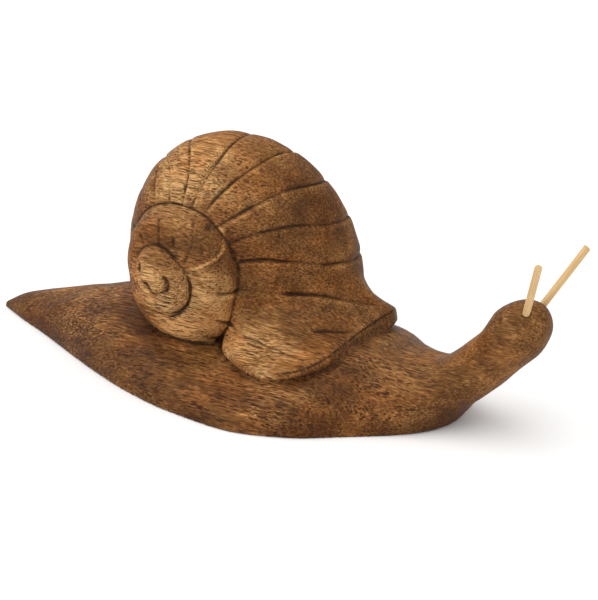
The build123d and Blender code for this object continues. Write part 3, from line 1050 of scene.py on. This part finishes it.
# A noise is the length of its patches along X, Y and Z (mm), its detail and its roughness. A range is two
# values of it and what they become, 0 and 1 where nothing else is said.
wood = {
    # colours from the darkest streaks to the palest, with their places on the tone scale
    "tones": [
        (0.05, (0.026, 0.009, 0.003)), (0.33, (0.076, 0.029, 0.009)), (0.52, (0.148, 0.063, 0.019)),
        (0.74, (0.326, 0.150, 0.048)), (0.99, (0.670, 0.385, 0.155)),
    ],
    "middleTone": 0.53,
    "swayWaves": (14.0, 30.0, 30.0), "swayReach": (0.002, 0.005, 0.005),    # to the metre, and m
    "swayDetail": 2.0,
    # noises that make the tone, each with its share last
    "noises": {
        "bands": ((90, 5, 5), 3, 0.55, 0.36), "fibres": ((7.5, 0.34, 0.34), 3, 0.55, 0.70),
        "mottle": ((10, 6, 6), 4, 0.62, 0.66), "patches": ((34, 26, 26), 2, 0.5, 0.40),
        "speckle": ((1.5, 0.34, 0.34), 2, 0.6, 0.60),
    },
    "offGrain": ("mottle", "patches"),      # the others follow the grain
    "goldFibres": 1.9, "goldSpeckle": 0.6,  # golden wood has stronger fibres and weaker speckle
    "redder": (1.05, 0.93, 0.82), "redNoise": ((14, 10, 10), 3, 0.6), "redRange": (0.42, 0.62),
    # dark dashes: cell size along and across the grain (mm), solid and faded edge of a dash, strength
    "dashes": [(4.6, 0.80, 0.20, 0.30, 0.90), (2.7, 0.62, 0.23, 0.34, 0.85), (1.8, 0.46, 0.18, 0.30, 0.60)],
    "dashNoise": ((12, 5, 5), 3, 0.6), "dashRange": (0.34, 0.56, 0.35, 1.0),
    # dark lines in golden wood
    "lineNoise": ((6.5, 0.34, 0.34), 2, 0.5), "lineRange": (0.54, 0.60), "lineStrength": 0.95,
    "pore": (0.038, 0.012, 0.005),
    # painted shade in the broad hollows, and grime with painted shade in the cuts, creases and joins
    "shade": (0.030, 0.013, 0.005), "shadeRange": (0.14, 1.0, 0.0, 0.5),
    "grimeAndShade": (0.020, 0.008, 0.003), "grimeAndShadeRange": (0.08, 0.85, 0.0, 0.88),
    "grimeAndShadeNoise": ((3, 1.5, 1.5), 3), "grimeAndShadeNoiseRange": (0.25, 0.6, 0.6, 1.0),
    "roughnessRange": (0.3, 0.7, 0.44, 0.62), "gloss": 0.08,
    "fibreHeight": 0.5, "bump": (0.6, 0.12),
}


def swayingGrain(recipe, place):
    # the grain runs along X and sways gently
    waves = recipe.node("ShaderNodeTexNoise", {
        "Vector": recipe.scaled(place, wood["swayWaves"]), "Scale": 1.0, "Detail": wood["swayDetail"],
    }).outputs["Color"]
    sway = recipe.vector("SUBTRACT", waves, (0.5, 0.5, 0.5))
    return recipe.vector("ADD", place, recipe.vector("MULTIPLY", sway, wood["swayReach"]))


def woodTone(recipe, noises, gold):
    tone = recipe.plus(recipe.attribute("wash"), wood["middleTone"])
    for name, noise in noises.items():
        share = wood["noises"][name][-1]
        part = recipe.times(recipe.minus(noise, 0.5), share)
        if name == "speckle":
            part = recipe.times(part, recipe.minus(1.0, recipe.times(gold, wood["goldSpeckle"])))
        if name == "fibres":
            part = recipe.times(part, recipe.plus(recipe.times(gold, wood["goldFibres"]), 1.0))
        tone = recipe.plus(tone, part)
    return tone


def woodPores(recipe, place, grain, gold):
    # short dark dashes along the grain, dots where the grain ends, and dark lines in golden wood
    pores = None
    for long, thick, solid, faded, strength in wood["dashes"]:
        where = recipe.stretched(grain, (long, thick, thick), (long, thick, long))
        cells = recipe.node("ShaderNodeTexVoronoi", {"Vector": where, "Scale": 1.0, "Randomness": 1.0})
        mask = recipe.times(recipe.range(cells.outputs["Distance"], solid, faded, 1.0, 0.0), strength)
        pores = mask if pores is None else recipe.larger(pores, mask)
    pores = recipe.times(pores, recipe.range(recipe.noise(place, *wood["dashNoise"]), *wood["dashRange"]))
    pores = recipe.times(pores, recipe.attribute("pored"))
    lines = recipe.range(recipe.noise(grain, *wood["lineNoise"]), *wood["lineRange"])
    return recipe.larger(pores, recipe.times(lines, recipe.times(gold, wood["lineStrength"])))


def carvedWood():
    recipe = Recipe("carvedWood")
    place = recipe.node("ShaderNodeTexCoord").outputs["Object"]
    grain = swayingGrain(recipe, place)
    gold = recipe.attribute("gold")
    noises = {}
    for name, (size, detail, roughness, _) in wood["noises"].items():
        noises[name] = recipe.noise(place if name in wood["offGrain"] else grain, size, detail, roughness)
    colour = recipe.ramp(woodTone(recipe, noises, gold), wood["tones"])
    redder = recipe.range(recipe.noise(place, *wood["redNoise"]), *wood["redRange"])
    colour = recipe.mix(redder, colour, recipe.mix(1.0, colour, wood["redder"], "MULTIPLY"))
    pores = woodPores(recipe, place, grain, gold)
    colour = recipe.mix(pores, colour, wood["pore"])
    # painted shade in the broad hollows, then grime and painted shade in the cuts and creases
    colour = recipe.mix(recipe.range(recipe.attribute("hollow"), *wood["shadeRange"]), colour, wood["shade"])
    patches = recipe.range(recipe.noise(place, *wood["grimeAndShadeNoise"]), *wood["grimeAndShadeNoiseRange"])
    grimeAndShadeShare = recipe.times(recipe.attribute("grimeAndShade"), patches)
    colour = recipe.mix(recipe.range(grimeAndShadeShare, *wood["grimeAndShadeRange"]), colour, wood["grimeAndShade"])
    roughness = recipe.range(noises["mottle"], *wood["roughnessRange"])
    height = recipe.minus(recipe.times(noises["fibres"], wood["fibreHeight"]), pores)
    return recipe.surface(colour, roughness, wood["gloss"], height, wood["bump"])


snail.data.materials.clear()
snail.data.materials.append(carvedWood())
print("wood made")


# The tentacles: two lengths of split cane. The near one is round, the far one has flatter sides.
canes = {
    "left": {"sideShare": 0.13, "sides": 4, "slant": 0.30, "bend": 0.05, "seed": 5},
    "right": {"sideShare": 0.05, "sides": 3, "slant": 0.22, "bend": 0.05, "seed": 11},
}
caneShape = {
    "pointsAround": 64, "ringCount": 90,
    "endRound": 0.07, "endSteps": 7,            # rounding of the ends (mm)
    "sideTightness": 0.8, "bendWaves": 0.65,    # the bend's waves over the whole cane
    "ridges": (11, 17, 25), "ridgeDepth": 0.014, "ridgeSway": 0.5, "ridgeWave": 7,
    "turnedBy": (0, 1), "waveStart": (0, 6),    # chance turns of the sides and starts of the waves
    "slantReach": 1.5,          # mm of the end that the slanting cut takes in
    "cutBorder": (0.35, 0.05), "cutSlantShare": 0.3,    # mm from the end where the cut face's colour starts
    "inside": 0.012,            # how far the cane stays within its solid (mm)
    "pale": (0.745, 0.525, 0.275), "tan": (0.590, 0.360, 0.145), "line": (0.300, 0.155, 0.050),
    "cut": (0.660, 0.440, 0.200),
    "fibreNoise": ((9, 0.16, 0.16), 3, 0.6), "fibreRange": (0.36, 0.66),
    "patchNoise": ((4, 1.2, 1.2), 3, 0.6), "patchRange": (0.50, 0.75), "patchShare": 0.4,
    "lineNoise": ((14, 0.10, 0.10), 2, 0.5), "lineRange": (0.30, 0.38, 1.0, 0.0), "lineShare": 0.55,
    "dotNoise": ((0.3, 0.12, 0.12), 1), "dotRange": (0.4, 0.6, 0.35, 0.0),
    "roughness": 0.52, "gloss": 0.30, "bump": (0.5, 0.05),
}


def buildCane(side):
    stick, traits = sticks[side], canes[side]
    chance = np.random.default_rng(traits["seed"])
    long, radius = stick["length"] - 2 * caneShape["inside"], stick["radius"]
    rounding, waveStart = caneShape["endRound"], caneShape["waveStart"]
    turns = np.linspace(0, math.pi / 2, caneShape["endSteps"])
    ends = rounding * (1 - np.cos(turns))
    endSize = 1 - rounding / radius * (1 - np.sin(turns))
    middle = np.linspace(rounding, long - rounding, caneShape["ringCount"])[1:-1]
    places = np.concatenate([ends, middle, long - ends[::-1]])
    sizes = np.concatenate([endSize, 1 + 0 * middle, endSize[::-1]])
    around = np.linspace(0, 2 * math.pi, caneShape["pointsAround"], endpoint=False)
    flatness = 0.5 - 0.5 * np.cos(traits["sides"] * (around - chance.uniform(*caneShape["turnedBy"])))
    radii = 1 - traits["sideShare"] * flatness ** caneShape["sideTightness"]
    radii = np.outer(sizes, radii) * (radius - caneShape["inside"] - traits["bend"])
    for count in caneShape["ridges"]:
        swaying = places / caneShape["ridgeWave"] + chance.uniform(*waveStart)
        drift = caneShape["ridgeSway"] * np.sin(swaying)
        ridge = 0.5 - 0.5 * np.sin(count * around[None] + drift[:, None] + chance.uniform(*waveStart))
        radii -= caneShape["ridgeDepth"] * ridge * sizes[:, None]
    across = np.cross(stick["along"], (0, 0, 1))
    across /= np.linalg.norm(across)
    other = np.cross(stick["along"], across)
    waves = 2 * math.pi * caneShape["bendWaves"] * places / long
    bend = traits["bend"] * np.sin(waves + chance.uniform(*waveStart))
    aside = radii * np.cos(around) + bend[:, None]
    rise = radii * np.sin(around)
    slanted = (aside / radius + 1) / 2 * traits["slant"]
    slanted *= smoothstep(long - caneShape["slantReach"], long, places)[:, None]
    reach = caneShape["inside"] + places[:, None] - slanted
    local = np.stack([reach, aside, rise], -1)
    rings = stick["foot"] + np.einsum("rck,kd->rcd", local, np.array([stick["along"], across, other]))
    name = "tentacle" + side.capitalize()
    piece = newObject(name, meshFrom(name, *skinRings(rings)))
    bm = bmesh.new()
    bm.from_mesh(piece.data)
    bmesh.ops.recalc_face_normals(bm, faces=bm.faces)
    bm.to_mesh(piece.data)
    bm.free()
    localPoints = np.concatenate([local.reshape(-1, 3), [local[0].mean(0), local[-1].mean(0)]])
    layer = piece.data.attributes.new("caneLine", "FLOAT_VECTOR", "POINT")
    layer.data.foreach_set("vector", (localPoints * mm).astype(np.float32).ravel())
    cutFrom, cutWhole = caneShape["cutBorder"]
    alongCane = localPoints[:, 0] + caneShape["cutSlantShare"] * traits["slant"]
    keepAttribute(piece.data, "caneEnd", smoothstep(long - cutFrom, long - cutWhole, alongCane))
    shadeSmooth(piece)
    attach(piece, "root")
    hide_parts("tentacle_" + side)
    return piece


def paleCane():
    recipe = Recipe("paleCane")
    place = recipe.attribute("caneLine", "Vector")
    fibres = recipe.noise(place, *caneShape["fibreNoise"])
    patches = recipe.range(recipe.noise(place, *caneShape["patchNoise"]), *caneShape["patchRange"])
    lines = recipe.range(recipe.noise(place, *caneShape["lineNoise"]), *caneShape["lineRange"])
    dots = recipe.range(recipe.noise(place, *caneShape["dotNoise"]), *caneShape["dotRange"])
    colour = recipe.mix(recipe.range(fibres, *caneShape["fibreRange"]), caneShape["tan"], caneShape["pale"])
    colour = recipe.mix(recipe.times(patches, caneShape["patchShare"]), colour, caneShape["tan"])
    colour = recipe.mix(recipe.times(lines, caneShape["lineShare"]), colour, caneShape["line"])
    cutFace = recipe.mix(dots, caneShape["cut"], caneShape["line"])
    colour = recipe.mix(recipe.attribute("caneEnd"), colour, cutFace)
    return recipe.surface(colour, caneShape["roughness"], caneShape["gloss"], fibres, caneShape["bump"])


caneMaterial = paleCane()
for side in sticks:
    buildCane(side).data.materials.append(caneMaterial)
print("canes made")


# Camera, floor and light
view = {
    "azimuth": 33.0, "elevation": 21.0, "distance": 450.0,
    "target": (0.0, 0.0, 20.0),
    "scaleAtTarget": 4.32,              # pixels of the photograph to the millimetre
    "targetPixel": (254.9, 289.0),
    "frameSize": (598, 600),
    "sensorWidth": 36.0,
    "clip": (0.01, 20),                 # nearest and farthest that the camera sees (m)
}


def makeCamera():
    azimuth, elevation = math.radians(view["azimuth"]), math.radians(view["elevation"])
    away = Vector((
        math.sin(azimuth) * math.cos(elevation),
        -math.cos(azimuth) * math.cos(elevation),
        math.sin(elevation),
    ))
    right = Vector((math.cos(azimuth), math.sin(azimuth), 0))
    up = away.cross(right)
    focal = view["scaleAtTarget"] * view["distance"]
    pixel = Vector(view["frameSize"]) / 2 - Vector(view["targetPixel"])
    aim = (-away + right * pixel.x / focal - up * pixel.y / focal).normalized()
    right = (right - aim * right.dot(aim)).normalized()
    up = right.cross(aim)
    lens = bpy.data.cameras.new("camera")
    lens.sensor_width = view["sensorWidth"]
    lens.lens = focal * view["sensorWidth"] / max(view["frameSize"])
    lens.clip_start, lens.clip_end = view["clip"]
    camera = newObject("camera", lens)
    place = (Vector(view["target"]) + away * view["distance"]) * mm
    turn = Matrix((right, up, -aim)).transposed()
    camera.matrix_world = Matrix.Translation(place) @ turn.to_4x4()
    scene.camera = camera


makeCamera()

studio = {
    "floorSize": 6.0, "floorDrop": 0.0001,      # m, the drop is from the sole
    "floorColour": (0.96, 0.96, 0.96), "floorRoughness": 0.9, "floorGloss": 0.1,
    "skyColour": (1.0, 1.0, 1.0), "skyStrength": 0.90,
    # name, place as seen from the snail (m), size (m), power (W), colour
    "lamps": [("keyLamp", (-0.38, -0.46, 1.38), 2.40, 13.6, (1.0, 0.98, 0.95))],
    "lampAim": (0, 0, 0.02),
}


def makeStudio():
    half = studio["floorSize"] / 2
    floorMesh = bpy.data.meshes.new("floor")
    corners = [(-half, -half, 0), (half, -half, 0), (half, half, 0), (-half, half, 0)]
    floorMesh.from_pydata(corners, [], [(0, 1, 2, 3)])
    floor = newObject("floor", floorMesh)
    floor.location.z = -studio["floorDrop"]
    paper = bpy.data.materials.new("whitePaper")
    paper.use_nodes = True
    shader = paper.node_tree.nodes["Principled BSDF"]
    shader.inputs["Base Color"].default_value = (*studio["floorColour"], 1)
    shader.inputs["Roughness"].default_value = studio["floorRoughness"]
    shader.inputs["Specular IOR Level"].default_value = studio["floorGloss"]
    floorMesh.materials.append(paper)

    world = bpy.data.worlds.new("studio")
    world.use_nodes = True
    sky = world.node_tree.nodes["Background"]
    sky.inputs["Color"].default_value = (*studio["skyColour"], 1)
    sky.inputs["Strength"].default_value = studio["skyStrength"]
    scene.world = world
    for name, place, size, power, colour in studio["lamps"]:
        light = bpy.data.lights.new(name, "AREA")
        light.shape, light.size = "DISK", size
        light.energy, light.color = power, colour
        lamp = newObject(name, light)
        lamp.location = place
        aim = Vector(studio["lampAim"]) - Vector(place)
        lamp.rotation_euler = aim.to_track_quat("-Z", "Y").to_euler()
    scene.view_settings.view_transform = "Standard"


makeStudio()
